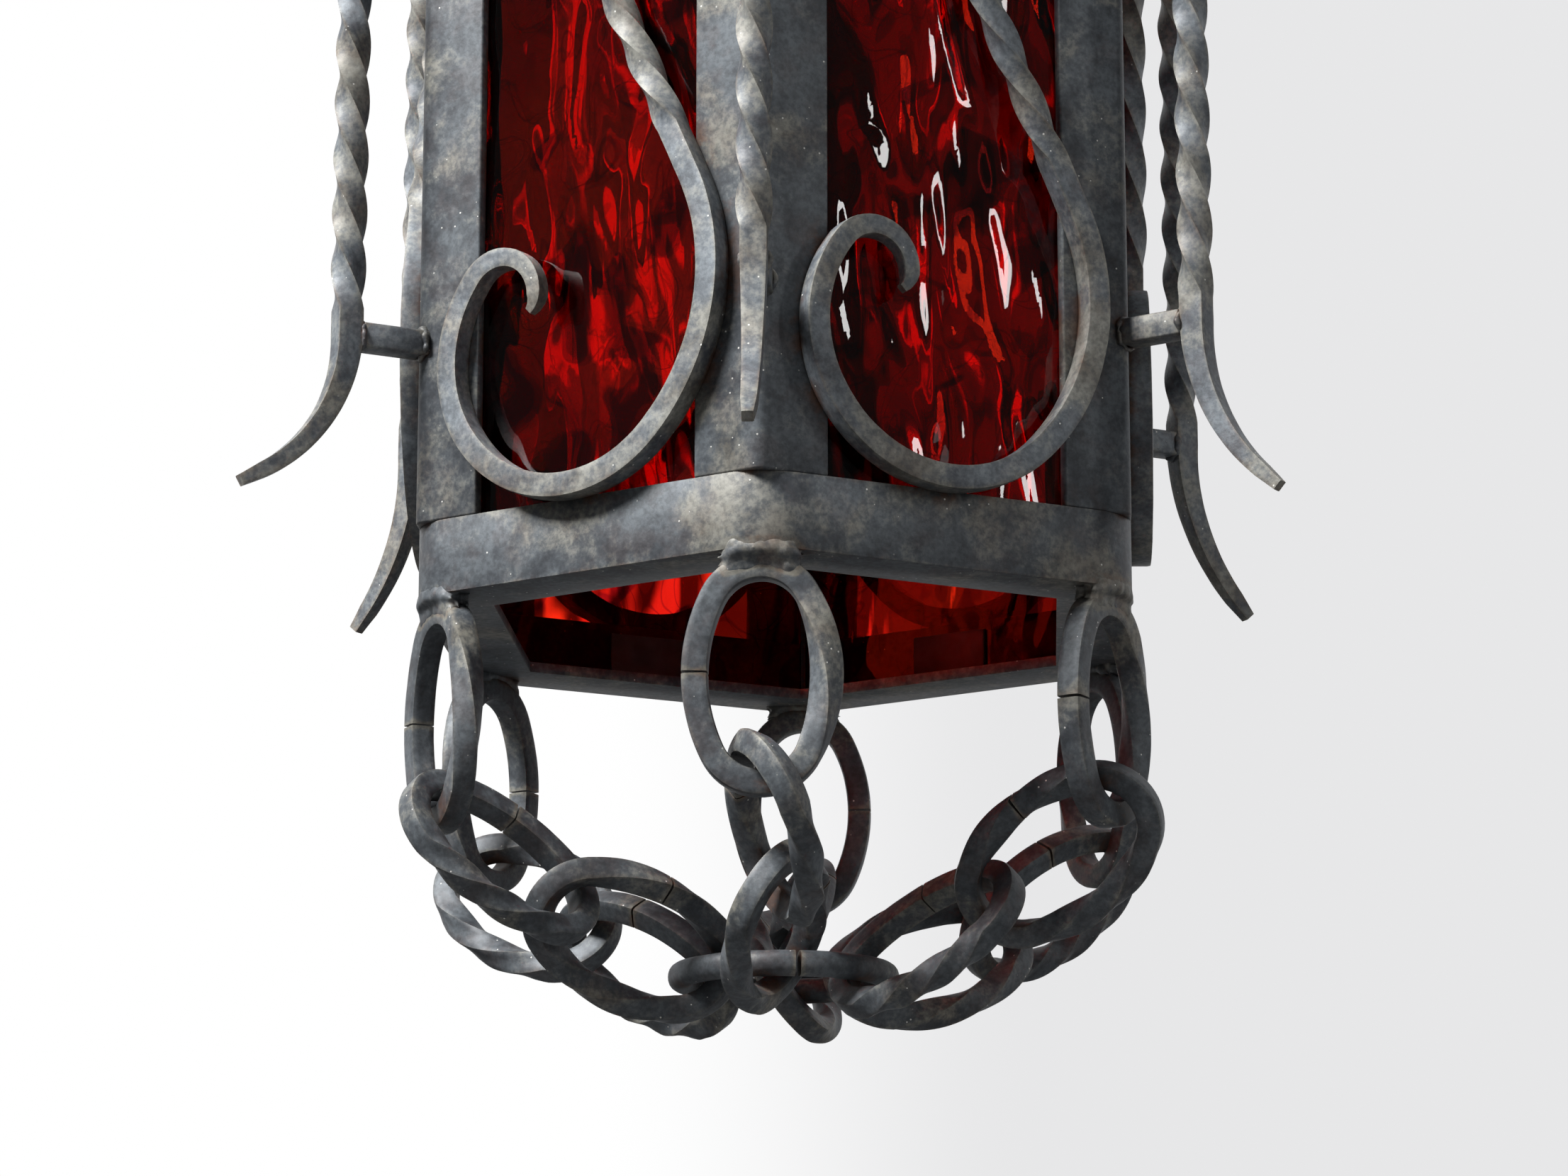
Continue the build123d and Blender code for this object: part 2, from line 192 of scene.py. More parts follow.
# Noises are (patterns per metre, detail, roughness, distortion), ramps are the levels where a mask begins and
# is full, and reaches and bump are in metres.
ironFinish = {
    "deep": (0.050, 0.056, 0.065),
    "slate": (0.128, 0.145, 0.160),
    "darkTan": (0.185, 0.155, 0.105),
    "paleTan": (0.345, 0.320, 0.250),
    "rust": (0.150, 0.058, 0.024),
    # near-black colour of the painted shade in creases
    "soot": (0.010, 0.009, 0.009),
    "pit": (0.012, 0.013, 0.015),
    "speck": (0.70, 0.69, 0.65),
    "broadNoise": (34, 5, 0.58, 0.5),
    "cloudNoise": (47, 5, 0.6),
    "speckPatchNoise": (60, 2),
    "rustNoise": (85, 6, 0.7),
    "mottleNoise": (120, 7, 0.66),
    "dentNoise": (230, 3),
    "grainNoise": (620, 5, 0.65),
    "speckScale": 300,
    "cloudShares": (0.6, 0.4),
    "slateRamp": (0.36, 0.60),
    "grainShare": 0.30,
    "mottleShare": 0.45,
    "tanSoftness": 0.22,
    "paleRamp": (0.35, 0.62),
    "edgeRamp": (0.86, 0.45),
    "creaseRamp": (0.88, 0.30),
    "rustRamp": (0.46, 0.62),
    "rustExposure": (0.10, 0.30, 1.2),
    # share of the painted crease shade
    "paintedCreaseShadeCover": 0.62,
    "pitRamp": (0.62, 0.36),
    "pitCover": 0.38,
    "speckPatchRamp": (0.50, 0.57),
    "speckRamp": (0.085, 0.06),
    "roughness": (0.40, 0.70),
    "metallic": 0.15,
    "wearReach": 0.0021,
    "creaseReach": 0.0075,
    "heightShares": (0.45, 0.16, 0.30),
    "bump": 0.0005,
}


# Slate-coloured scale, tan where it is worn, brown rust and near-black painted shade in the creases, with
# fine pale specks. Tan shows above the level of patches, so a lower level gives more of it, and wear adds it
# along edges.
def makeIron(name, patches, wear, shade=1.0, rust=0.5, cover=0.5):
    material, tree, shader, coords = newMaterial(name)
    finish = ironFinish
    broad, mottle, grain, cloud, brown, sparse, dents = (
        noiseNode(tree, coords, *finish[f"{kind}Noise"])
        for kind in ("broad", "mottle", "grain", "cloud", "rust", "speckPatch", "dent")
    )
    cloud = blendSum(tree, 0.0, *zip((mottle, cloud), finish["cloudShares"]))
    deep, slate = (tuple(part * shade for part in finish[key]) for key in ("deep", "slate"))
    color = mixColors(tree, rampNode(tree, cloud, *finish["slateRamp"]), deep, slate)

    inner = addNode(tree, "ShaderNodeAmbientOcclusion", samples=8, inside=True, Distance=finish["wearReach"])
    edge = rampNode(tree, inner.outputs["AO"], *finish["edgeRamp"])
    grainShare, mottleShare = finish["grainShare"], finish["mottleShare"]
    tone = blendSum(tree, broad, (grain, grainShare), (mottle, mottleShare), (edge, wear))
    tanLevel = patches + (grainShare + mottleShare) / 2  # noise lies round a half
    tan = mixColors(tree, rampNode(tree, mottle, *finish["paleRamp"]), finish["darkTan"], finish["paleTan"])
    worn = rampNode(tree, tone, tanLevel, tanLevel + finish["tanSoftness"])
    color = mixColors(tree, times(tree, worn, cover), color, tan)

    outer = addNode(tree, "ShaderNodeAmbientOcclusion", samples=8, Distance=finish["creaseReach"])
    crease = rampNode(tree, outer.outputs["AO"], *finish["creaseRamp"])
    anywhere, atEdge, inCrease = finish["rustExposure"]
    exposure = blendSum(tree, anywhere, (edge, atEdge), (crease, inCrease))
    brown = mathNode(tree, "MULTIPLY", rampNode(tree, brown, *finish["rustRamp"]), exposure, clamp=True)
    color = mixColors(tree, times(tree, brown, rust), color, finish["rust"])
    # Painted shade: the occlusion mask lays near-black colour into creases and between parts.
    color = mixColors(tree, times(tree, crease, finish["paintedCreaseShadeCover"]), color, finish["soot"])
    pits = rampNode(tree, grain, *finish["pitRamp"])
    color = mixColors(tree, times(tree, pits, finish["pitCover"]), color, finish["pit"])

    specks = addNode(tree, "ShaderNodeTexVoronoi", Scale=finish["speckScale"], Randomness=1.0)
    tree.links.new(coords, specks.inputs["Vector"])
    sparse = rampNode(tree, sparse, *finish["speckPatchRamp"])
    dots = rampNode(tree, specks.outputs["Distance"], *finish["speckRamp"])
    color = mixColors(tree, times(tree, dots, sparse), color, finish["speck"])
    tree.links.new(color, shader.inputs["Base Color"])

    shader.inputs["Metallic"].default_value = finish["metallic"]
    shader.inputs["Specular IOR Level"].default_value = 0.5
    low, high = finish["roughness"]
    tree.links.new(blendSum(tree, low, (mottle, high - low)), shader.inputs["Roughness"])
    height = blendSum(tree, 0.0, *zip((mottle, grain, dents), finish["heightShares"]))
    addBump(tree, shader, height, 0.5, finish["bump"])
    return material


angleIron = makeIron("angleIronScale", patches=0.49, wear=0.14, rust=0.95)
barIron = makeIron("barIronScale", patches=0.43, wear=0.24, shade=1.5, rust=0.9, cover=0.55)
chainIron = makeIron("chainIronScale", patches=0.52, wear=0.50, shade=0.92, rust=1.0, cover=0.55)
weldIron = makeIron("weldIronScale", patches=0.49, wear=0.08, shade=0.95, rust=0.6)

glassFinish = {
    "bright": (0.54, 0.016, 0.003),
    "middle": (0.40, 0.006, 0.003),
    # near-black colour of the painted reflection in the folds and outlines
    "dark": (0.045, 0.0, 0.003),
    "stretch": (1.0, 1.0, 0.78),
    # the fold and line noises place the painted reflection, and the broad one varies the glass's own red
    "foldNoise": (52.0, 1.0, 0.4, 0.9),
    "lineNoise": (46.8, 1.0, 0.4, 1.1),
    "broadNoise": (20.8, 1.5, 0.5, 0.6),
    "broadRamp": (0.38, 0.62),
    # levels, ramps and covers of the painted reflection's outlines and folds
    "reflectionLineLevel": 0.47,
    "reflectionLineRamp": (0.012, 0.004),
    "reflectionLineCover": 0.65,
    "reflectionFoldRamp": (0.585, 0.612),
    "reflectionFoldCover": 0.85,
    "roughness": 0.012,
    "ior": 1.5,
}


# Red glass in broad patches of two reds, with painted reflection on top: near-black folds, whose outlines
# wander, stand in for the dark surroundings seen through the ripples.
def makeGlass():
    material, tree, shader, coords = newMaterial("redRippledGlass")
    finish = glassFinish
    stretched = vectorMath(tree, "MULTIPLY", coords, finish["stretch"])
    reflectionFolds, reflectionOutlines, broad = (
        noiseNode(tree, stretched, *finish[f"{kind}Noise"]) for kind in ("fold", "line", "broad")
    )
    reflectionOutlines = mathNode(tree, "ABSOLUTE", mathNode(tree, "SUBTRACT", reflectionOutlines, finish["reflectionLineLevel"]))
    color = mixColors(tree, rampNode(tree, broad, *finish["broadRamp"]), finish["middle"], finish["bright"])
    # Painted reflection: near-black outlines and folds stand in for the dark surroundings seen through the
    # ripples.
    paintedReflectionLines = times(tree, rampNode(tree, reflectionOutlines, *finish["reflectionLineRamp"]), finish["reflectionLineCover"])
    color = mixColors(tree, paintedReflectionLines, color, finish["dark"])
    paintedReflectionFolds = times(tree, rampNode(tree, reflectionFolds, *finish["reflectionFoldRamp"]), finish["reflectionFoldCover"])
    color = mixColors(tree, paintedReflectionFolds, color, finish["dark"])
    tree.links.new(color, shader.inputs["Base Color"])
    shader.inputs["Transmission Weight"].default_value = 1.0
    shader.inputs["Roughness"].default_value = finish["roughness"]
    shader.inputs["IOR"].default_value = finish["ior"]
    return material


redGlass = makeGlass()

plainFinish = {
    "dullSteel": {
        "colors": ((0.060, 0.060, 0.064), (0.035, 0.028, 0.022)),
        "metallic": 0.6,
        "roughness": 0.45,
        "scale": 70,
        "bump": 0.0003,
    },
    "dullBrass": {
        "colors": ((0.55, 0.40, 0.17), (0.30, 0.20, 0.09)),
        "metallic": 0.9,
        "roughness": 0.3,
        "scale": 60,
        "bump": 0.0002,
    },
    "glazedPorcelain": {
        "colors": ((0.80, 0.78, 0.72), (0.70, 0.67, 0.60)),
        "metallic": 0.0,
        "roughness": 0.1,
        "scale": 25,
        "bump": 0.0002,
    },
}


# Plain dull metals and glazed porcelain, each with grain, smudges and a little bump.
def makePlain(name):
    material, tree, shader, coords = newMaterial(name)
    finish = plainFinish[name]
    patches = noiseNode(tree, coords, finish["scale"], 6, 0.6)
    color = mixColors(tree, rampNode(tree, patches, 0.35, 0.7), *finish["colors"])
    tree.links.new(color, shader.inputs["Base Color"])
    shader.inputs["Metallic"].default_value = finish["metallic"]
    tree.links.new(blendSum(tree, finish["roughness"], (patches, 0.2)), shader.inputs["Roughness"])
    addBump(tree, shader, noiseNode(tree, coords, finish["scale"] * 6, 3), 0.4, finish["bump"])
    return material


springSteel, dullBrass, porcelain = (makePlain(name) for name in plainFinish)
print("materials ready")


# Shared makers

sharpAngles = {"forged": 48, "cut": 35, "turned": 40}  # degrees above which an edge is shaded sharp


def shadeMesh(mesh, kind):
    mesh.shade_smooth()
    mesh.set_sharp_from_angle(angle=math.radians(sharpAngles[kind]))


def newPiece(name, mesh):
    mesh.name = name
    piece = bpy.data.objects.new(name, mesh)
    bpy.context.scene.collection.objects.link(piece)
    return piece


# What a piece's modifiers make of it, as a plain mesh. The piece itself goes.
def settleMesh(piece):
    bpy.context.view_layer.update()
    graph = bpy.context.evaluated_depsgraph_get()
    evaluated = piece.evaluated_get(graph)
    mesh = bpy.data.meshes.new_from_object(evaluated, preserve_all_data_layers=True, depsgraph=graph)
    bpy.data.objects.remove(piece, do_unlink=True)
    return mesh


def dress(piece, body, slot, *nodes):
    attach(piece, body)
    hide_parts(*nodes)
    return piece


def newTree(name, inputs):
    tree = bpy.data.node_groups.new(name, "GeometryNodeTree")
    tree.interface.new_socket("Geometry", in_out="INPUT", socket_type="NodeSocketGeometry")
    for label, kind, value in inputs + [("Material", "NodeSocketMaterial", None)]:
        socket = tree.interface.new_socket(label, in_out="INPUT", socket_type=kind)
        if value is not None:
            socket.default_value = value
    tree.interface.new_socket("Geometry", in_out="OUTPUT", socket_type="NodeSocketGeometry")
    return tree, tree.nodes.new("NodeGroupInput")


# Each tree ends in real geometry with its material.
def endTree(tree, inside, geometry):
    realize = tree.nodes.new("GeometryNodeRealizeInstances")
    finish = tree.nodes.new("GeometryNodeSetMaterial")
    outside = tree.nodes.new("NodeGroupOutput")
    tree.links.new(geometry, realize.inputs["Geometry"])
    tree.links.new(realize.outputs["Geometry"], finish.inputs["Geometry"])
    tree.links.new(inside.outputs["Material"], finish.inputs["Material"])
    tree.links.new(finish.outputs["Geometry"], outside.inputs["Geometry"])
    return tree


def attributeNode(tree, name, kind="FLOAT"):
    node = addNode(tree, "GeometryNodeInputNamedAttribute", data_type=kind)
    node.inputs["Name"].default_value = name
    return node.outputs["Attribute"]


# Points with named numbers on them, for a tree to read.
def pointHost(name, points, edges=(), **columns):
    mesh = bpy.data.meshes.new(name)
    mesh.from_pydata([tuple(point) for point in points], list(edges), [])
    for key, values in columns.items():
        vectors = isinstance(values[0], tuple)
        layer = mesh.attributes.new(key, "FLOAT_VECTOR" if vectors else "FLOAT", "POINT")
        if vectors:
            layer.data.foreach_set("vector", [part for value in values for part in value])
        else:
            layer.data.foreach_set("value", values)
    return newPiece(name, mesh)


# The host's tree becomes a plain mesh at its place, and the host goes.
def bakeTree(host, tree, values, name, place=None):
    modifier = host.modifiers.new(tree.name, "NODES")
    modifier.node_group = tree
    for item in tree.interface.items_tree:
        if item.item_type == "SOCKET" and item.in_out == "INPUT" and item.name in values:
            modifier[item.identifier] = values[item.name]
    mesh = settleMesh(host)
    if place is not None:
        mesh.transform(place)
    for key in ("twist", "thin", "turn", "size"):
        if key in mesh.attributes:
            mesh.attributes.remove(mesh.attributes[key])
    shadeMesh(mesh, "forged")
    return newPiece(name, mesh)


# Points of a bar's centreline as (x, y, twist, size), with twist in radians. A straight step is
# ("run", length, twist, size), and a bent one ("bend", radius, sweep, twist, size), in degrees. A step's size
# is the share of the bar's thickness at its end, or None for no change.
def traceBar(start, heading, steps, spacing=0.0014):
    x, y = start
    rows, turned, size = [(x, y, 0.0, 1.0)], 0.0, 1.0
    for kind, amount, *rest in steps:
        sweep = math.radians(rest[0]) if kind == "bend" else 0.0
        twist, target = rest[-2:]
        length = amount * abs(sweep) if kind == "bend" else amount
        count = max(2, round(length / spacing))
        change = 0.0 if target is None else (target - size) / count
        for _ in range(count):
            turn = sweep / count / 2
            chord = 2 * amount * abs(math.sin(turn)) if sweep else length / count
            heading += turn
            x += chord * math.cos(heading)
            y += chord * math.sin(heading)
            heading += turn
            turned += math.radians(twist) / count
            size += change
            rows.append((x, y, turned, size))
    return rows


# A bar swept along a path. Squareness 2 gives a round bar, and a higher one a squarer bar.
def makeForgeTree():
    tree, inside = newTree("forgedBar", [
        ("Half Size", "NodeSocketFloat", 0.004),
        ("Squareness", "NodeSocketFloat", 7.0),
        ("Profile Points", "NodeSocketInt", 28),
        ("Hammer Depth", "NodeSocketFloat", 0.0003),
        ("Hammer Scale", "NodeSocketFloat", 90.0),
        ("Seed", "NodeSocketFloat", 0.0),
    ])
    link = tree.links.new
    curve = tree.nodes.new("GeometryNodeMeshToCurve")
    link(inside.outputs["Geometry"], curve.inputs["Mesh"])
    normal = addNode(tree, "GeometryNodeSetCurveNormal", mode="Z_UP")
    link(curve.outputs["Curve"], normal.inputs["Curve"])
    tilt = tree.nodes.new("GeometryNodeSetCurveTilt")
    link(normal.outputs["Curve"], tilt.inputs["Curve"])
    link(attributeNode(tree, "twist"), tilt.inputs["Tilt"])

    circle = addNode(tree, "GeometryNodeCurvePrimitiveCircle", Radius=1.0)
    link(inside.outputs["Profile Points"], circle.inputs["Resolution"])
    position = tree.nodes.new("GeometryNodeInputPosition").outputs["Position"]
    square = inside.outputs["Squareness"]
    x, y, _ = splitVector(tree, vectorMath(tree, "ABSOLUTE", position))
    powers = mathNode(tree, "ADD", mathNode(tree, "POWER", x, square), mathNode(tree, "POWER", y, square))
    reach = mathNode(tree, "POWER", powers, mathNode(tree, "DIVIDE", 1.0, square))
    scale = mathNode(tree, "DIVIDE", inside.outputs["Half Size"], reach)
    profile = tree.nodes.new("GeometryNodeSetPosition")
    link(circle.outputs["Curve"], profile.inputs["Geometry"])
    link(vectorMath(tree, "SCALE", position, scale=scale), profile.inputs["Position"])

    sweep = tree.nodes.new("GeometryNodeCurveToMesh")
    sweep.inputs["Fill Caps"].default_value = True
    link(tilt.outputs["Curve"], sweep.inputs["Curve"])
    link(profile.outputs["Geometry"], sweep.inputs["Profile Curve"])
    link(attributeNode(tree, "thin"), sweep.inputs["Scale"])

    seed = inside.outputs["Seed"]
    spot = vectorMath(tree, "ADD", position, joinVector(tree, seed, seed, seed))
    hammer = noiseNode(tree, spot, inside.outputs["Hammer Scale"], 2.0, 0.5)
    depth = times(tree, mathNode(tree, "SUBTRACT", hammer, 0.5), inside.outputs["Hammer Depth"])
    surface = tree.nodes.new("GeometryNodeInputNormal").outputs["Normal"]
    dent = tree.nodes.new("GeometryNodeSetPosition")
    link(sweep.outputs["Mesh"], dent.inputs["Geometry"])
    link(vectorMath(tree, "SCALE", surface, scale=depth), dent.inputs["Offset"])
    return endTree(tree, inside, dent.outputs["Geometry"])


forgeTree = makeForgeTree()
forging = {"squareness": 10.0, "points": 32, "depth": 0.0003, "size": half}


def forgeBar(name, rows, place, material, seed, closed=False, **changes):
    given = {**forging, **changes}
    edges = [(i, i + 1) for i in range(len(rows) - 1)]
    if closed:
        edges.append((len(rows) - 1, 0))
    x, y, twist, thin = zip(*rows)
    host = pointHost("barPath", zip(x, y, [0.0] * len(rows)), edges, twist=twist, thin=thin)
    values = {
        "Half Size": given["size"],
        "Squareness": given["squareness"],
        "Profile Points": given["points"],
        "Hammer Depth": given["depth"],
        "Seed": float(seed),
        "Material": material,
    }
    return bakeTree(host, forgeTree, values, name, place)


# Copies of a finished piece set at given places, as one mesh.
def makeRepeatTree():
    tree, inside = newTree("repeatPiece", [("Piece", "NodeSocketObject", None)])
    link = tree.links.new
    info = addNode(tree, "GeometryNodeObjectInfo", transform_space="ORIGINAL")
    link(inside.outputs["Piece"], info.inputs["Object"])
    turn = tree.nodes.new("FunctionNodeEulerToRotation")
    link(attributeNode(tree, "turn", "FLOAT_VECTOR"), turn.inputs["Euler"])
    copies = tree.nodes.new("GeometryNodeInstanceOnPoints")
    link(inside.outputs["Geometry"], copies.inputs["Points"])
    link(info.outputs["Geometry"], copies.inputs["Instance"])
    link(turn.outputs["Rotation"], copies.inputs["Rotation"])
    return endTree(tree, inside, copies.outputs["Instances"])


repeatTree = makeRepeatTree()


def repeatPiece(name, source, places, material):
    turned = [tuple(place.to_euler("XYZ")) for place in places]
    host = pointHost("places", [place.translation for place in places], turn=turned)
    return bakeTree(host, repeatTree, {"Piece": source, "Material": material}, name)


easing = {"doubles": 1e-6, "flatness": 1.0, "bevelAngle": 32, "segments": 2}  # angles in degrees


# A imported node's copy with its edges eased, for iron that was cut and filed.
def easeNode(node, width, material, slot, shape=None):
    first, *words = node.split("_")
    name = first + "".join(word.capitalize() for word in words)
    mesh = frame["nodes"][node].data.copy()
    build = bmesh.new()
    build.from_mesh(mesh)
    bmesh.ops.remove_doubles(build, verts=build.verts, dist=easing["doubles"])
    flat = math.radians(easing["flatness"])
    bmesh.ops.dissolve_limit(build, angle_limit=flat, verts=build.verts, edges=build.edges)
    build.to_mesh(mesh)
    build.free()
    if shape:
        shape(mesh)
    mesh.materials.clear()
    mesh.materials.append(material)
    for layer in list(mesh.uv_layers):
        mesh.uv_layers.remove(layer)
    piece = newPiece(name, mesh)
    bevel = piece.modifiers.new("easedEdges", "BEVEL")
    bevel.width = width
    bevel.segments = easing["segments"]
    bevel.limit_method = "ANGLE"
    bevel.angle_limit = math.radians(easing["bevelAngle"])
    eased = settleMesh(piece)
    shadeMesh(eased, "cut")
    bodies = frame["record"]["behaviour"]["bodies"]
    body = next(body for body, nodes in bodies.items() if node in nodes)
    return dress(newPiece(name, eased), body, slot, node)


# Rings and posts

ringBend = {"drawn": 0.004, "hammered": 0.018, "halfAngle": 30.5, "slack": 0.0002}


def bendCentre(radius):
    return (apothem - radius) / math.cos(math.radians(30))


# The rings were bent hot, so their corners are rounder than the posts' drawn ones.
def softenCorners(mesh):
    drawn, soft, slack = ringBend["drawn"], ringBend["hammered"], ringBend["slack"]
    for vertex in mesh.vertices:
        turn = min(turns, key=lambda t: -vertex.co.dot(aim(t)))
        outward = vertex.co.dot(aim(turn)) - bendCentre(drawn)
        across = vertex.co.dot(aim(turn + 90))
        depth = drawn - math.hypot(outward, across)
        angle = math.atan2(across, outward)
        inBend = abs(math.degrees(angle)) < ringBend["halfAngle"]
        if inBend and -slack < depth < lamp["ironThickness"] + slack:
            reach = soft - depth
            place = aim(turn) * (bendCentre(soft) + reach * math.cos(angle))
            place += aim(turn + 90) * reach * math.sin(angle)
            vertex.co.x, vertex.co.y = place.x, place.y


easeNode("bottom_ring", 0.0005, angleIron, "angle_iron", softenCorners)
easeNode("top_ring", 0.0005, angleIron, "angle_iron", softenCorners)
for k in range(6):
    easeNode(f"corner_post_{k + 1}", 0.0006, angleIron, "angle_iron")
print("rings and posts done")

# Glass

pane = {
    "width": 2 * (innerApothem - lamp["glassThickness"]) * math.tan(math.radians(30)) - lamp["glassPlay"],
    "height": topZ - baseZ - 2 * lamp["ironThickness"] - lamp["glassPlay"],
    "rippleDepth": 0.0026,
    "innerShare": 0.3,
    "rippleWidth": 80.0,
    "rippleHeight": 27.0,
    "faceShift": 400.0,
    "crestLevel": 0.62,
    "lean": 0.16,
    "flatEdge": 0.012,
    "grid": (80, 200),
}


# A flat block of glass whose two faces roll in long ripples and run flat at the edges. The inner face has a
# share of the outer one's depth.
def makeGlassTree():
    tree, inside = newTree("rippledPane", [
        ("Width", "NodeSocketFloat", 0.1),
        ("Height", "NodeSocketFloat", 0.35),
        ("Thickness", "NodeSocketFloat", 0.003),
        ("Ripple Depth", "NodeSocketFloat", 0.001),
        ("Ripples Across", "NodeSocketFloat", 60.0),
        ("Ripples Along", "NodeSocketFloat", 25.0),
        ("Seed", "NodeSocketFloat", 0.0),
    ])
    given = inside.outputs
    block = tree.nodes.new("GeometryNodeMeshCube")
    size = joinVector(tree, given["Width"], given["Height"], given["Thickness"])
    tree.links.new(size, block.inputs["Size"])
    block.inputs["Vertices X"].default_value = pane["grid"][0]
    block.inputs["Vertices Y"].default_value = pane["grid"][1]
    block.inputs["Vertices Z"].default_value = 2

    position = tree.nodes.new("GeometryNodeInputPosition").outputs["Position"]
    x, y, z = splitVector(tree, position)
    leaning = joinVector(tree, blendSum(tree, x, (y, pane["lean"])), y, z)
    spread = joinVector(tree, given["Ripples Across"], given["Ripples Along"], pane["faceShift"])
    where = vectorMath(tree, "MULTIPLY", leaning, spread)
    where = vectorMath(tree, "ADD", where, joinVector(tree, given["Seed"], given["Seed"], given["Seed"]))
    crest = mathNode(tree, "SUBTRACT", noiseNode(tree, where, 1.0, 1.0, 0.4, 0.5), pane["crestLevel"])
    for value, reach in ((x, pane["width"] / 2), (y, pane["height"] / 2)):
        fade = rampNode(tree, mathNode(tree, "ABSOLUTE", value), reach, reach - pane["flatEdge"])
        crest = times(tree, crest, fade)
    amount = times(tree, crest, given["Ripple Depth"])
    share = pane["innerShare"]
    side = mathNode(tree, "MULTIPLY_ADD", mathNode(tree, "SIGN", z), (1 + share) / 2, (1 - share) / 2)
    shape = tree.nodes.new("GeometryNodeSetPosition")
    tree.links.new(block.outputs["Mesh"], shape.inputs["Geometry"])
    tree.links.new(joinVector(tree, 0.0, 0.0, times(tree, amount, side)), shape.inputs["Offset"])
    return endTree(tree, inside, shape.outputs["Geometry"])


glassTree = makeGlassTree()
for k, turn in enumerate(turns):
    facing = turn - 30
    centre = aim(facing) * (innerApothem - lamp["glassThickness"] / 2)
    centre += up * (baseZ + lamp["ironThickness"] + pane["height"] / 2)
    host = newPiece("paneHost", bpy.data.meshes.new("paneHost"))
    values = {
        "Width": pane["width"],
        "Height": pane["height"],
        "Thickness": lamp["glassThickness"],
        "Ripple Depth": pane["rippleDepth"],
        "Ripples Across": pane["rippleWidth"],
        "Ripples Along": pane["rippleHeight"],
        "Seed": 7.3 * k + 2.0,
        "Material": redGlass,
    }
    sheet = bakeTree(host, glassTree, values, f"glassPane{k + 1}", placeOn(centre, aim(facing + 90), up))
    dress(sheet, "lantern", "red_glass", f"glass_pane_{k + 1}")
print("glass done")

# Scrolls

# Shares of the corner radius, and headings in degrees.
scroll = {
    "belly": 0.525,
    "heel": 0.355,
    "toe": 0.334,
    "curl": 0.1,
    "beak": 0.05,
    "bellyOut": 0.388,
    "bellyEnd": -136.0,
    "sink": 0.0008,
    "twist": -360.0,
    "turnsAfter": (-100.0, -73.0, -145.0, -50.0),
    "thinning": (0.9, 0.65, 0.35),
    "squareness": 14.0,
}
bellyRadius, heelRadius, toeRadius, curlRadius, beakRadius = (
    scroll[name] * lamp["cornerRadius"] for name in ("belly", "heel", "toe", "curl", "beak")
)
scrollHalf = lamp["scrollBar"] / 2
foot = (topZ - baseZ) / 2 - lamp["band"] - scrollHalf + scroll["sink"]
bellyX = scroll["bellyOut"] * lamp["cornerRadius"] - bellyRadius
bellyY = heelRadius - foot - (bellyRadius - heelRadius) * math.cos(math.radians(scroll["bellyEnd"]))
toBelly = math.hypot(bellyX, bellyY)
heading = math.degrees(math.atan2(bellyY, bellyX) + math.asin(bellyRadius / toBelly))
spineLength = math.sqrt(toBelly**2 - bellyRadius**2)
clearOfPost = lamp["cornerRadius"] / 2 - lamp["band"] - lamp["scrollBar"] / math.sqrt(2)
twisted = clearOfPost / math.cos(math.radians(heading))
heelTurn, toeTurn, curlTurn, beakTurn = scroll["turnsAfter"]
toeThin, curlThin, beakThin = scroll["thinning"]
lowerHalf = traceBar((0, 0), math.radians(heading), [
    ("run", twisted, scroll["twist"], None),
    ("run", spineLength - twisted, 0, None),
    ("bend", bellyRadius, scroll["bellyEnd"] - heading, 0, None),
    ("bend", heelRadius, heelTurn, 0, None),
    ("bend", toeRadius, toeTurn, 0, toeThin),
    ("bend", curlRadius, curlTurn, 0, curlThin),
    ("bend", beakRadius, beakTurn, 0, beakThin),
])
upperHalf = [(-x, -y, -twist, size) for x, y, twist, size in lowerHalf[:0:-1]]
scrollForging = {"squareness": scroll["squareness"], "size": scrollHalf}
for k, turn in enumerate(turns):
    facing = turn - 30
    place = placeOn(aim(facing) * (apothem + scrollHalf) + up * midZ, aim(facing + 90), up)
    bar = forgeBar(f"scrollBar{k + 1}", upperHalf + lowerHalf, place, barIron, 3 + k, **scrollForging)
    dress(bar, "lantern", "wrought_iron", f"scroll_{k + 1}")
print("scrolls done")

# Corner rods

rod = {
    "twist": -1170.0,
    "plain": 0.0035,
    "tailLength": 0.048,
    "kicks": (46, 60, 40, 50, 42, 46),
    "thinning": (0.60, 0.44),
    "squareness": 16.0,
}
plain = half + rod["plain"]
tailThin, tipThin = rod["thinning"]
stubLevels = (baseZ + lamp["band"] + lamp["stubRise"], topZ - lamp["band"] - lamp["stubRise"])
rodLength = stubLevels[1] - stubLevels[0] - 2 * plain
middle = traceBar((0, rodLength / 2), math.radians(-90), [("run", rodLength, rod["twist"], None)])
for k, (turn, kick) in enumerate(zip(turns, rod["kicks"])):
    tail = traceBar((0, -rodLength / 2), math.radians(-90), [
        ("run", plain, 0, None),
        ("bend", rod["tailLength"] / math.radians(kick), kick, 0, tailThin),
        ("run", lamp["barSize"], 0, tipThin),
    ])
    rows = [(x, -y, 0, size) for x, y, _, size in tail[:0:-1]] + middle
    rows += [(x, y, math.radians(rod["twist"]), size) for x, y, _, size in tail[1:]]
    place = placeOn(aim(turn) * rodRadius + up * midZ, aim(turn), up)
    bar = forgeBar(f"cornerRod{k + 1}", rows, place, barIron, 20 + k, squareness=rod["squareness"])
    dress(bar, "lantern", "wrought_iron", f"corner_rod_{k + 1}")
easeNode("rod_stubs", 0.0006, barIron, "wrought_iron")
print("corner rods done")

# Chains

